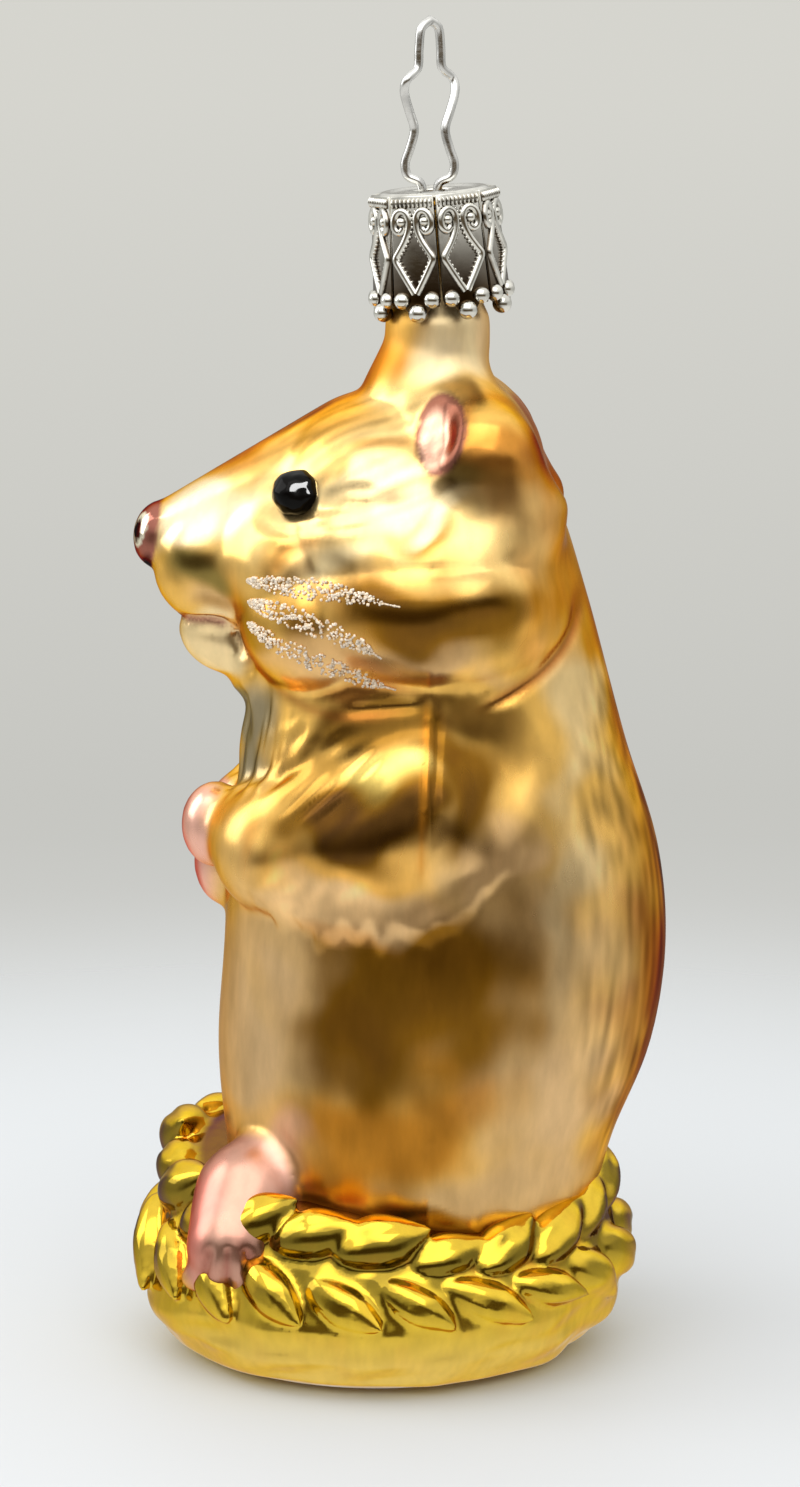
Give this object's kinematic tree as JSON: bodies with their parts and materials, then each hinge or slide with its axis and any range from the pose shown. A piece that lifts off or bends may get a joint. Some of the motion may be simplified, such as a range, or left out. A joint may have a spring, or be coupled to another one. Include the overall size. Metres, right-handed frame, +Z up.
{
  "type": "blown glass hamster ornament",
  "caption": "Silvered, hand-painted glass hamster sitting up in a ring of wheat ears, with a stamped metal cap and a spring-wire hanger loop.",
  "frame": {"origin": "point of the nest's flat underside that lies below the figure's belly", "axes": "+Z up along the hanger, -X the way the hamster faces, -Y its left side"},
  "size_m": [0.0481, 0.0454, 0.1194],
  "materials": {
    "wheat_gold": "silvered inside, gloss yellow-gold lacquer",
    "fur_gold": "silvered inside, satin gold and brown lacquer",
    "ear_amber": "silvered inside, satin amber lacquer, pink inner ear",
    "paw_pink": "silvered inside, satin pink-white lacquer",
    "nose_rose": "gloss pink-brown paint",
    "eye_black": "gloss black enamel",
    "neck_cream": "silvered inside, satin cream-gold lacquer",
    "cap_silver": "bright stamped tinplate",
    "wire_silver": "bright spring wire"
  },
  "bodies": {
    "root": {"nest": "wheat_gold", "trunk": "fur_gold", "head": "fur_gold", "arm_left": "fur_gold", "arm_right": "fur_gold", "ear_left": "ear_amber", "ear_right": "ear_amber", "paw_left": "paw_pink", "paw_right": "paw_pink", "foot_left": "paw_pink", "foot_right": "paw_pink", "nose": "nose_rose", "eye_left": "eye_black", "eye_right": "eye_black", "neck_tube": "neck_cream", "cap": "cap_silver", "hanger": "wire_silver"}
  },
  "joints": []
}
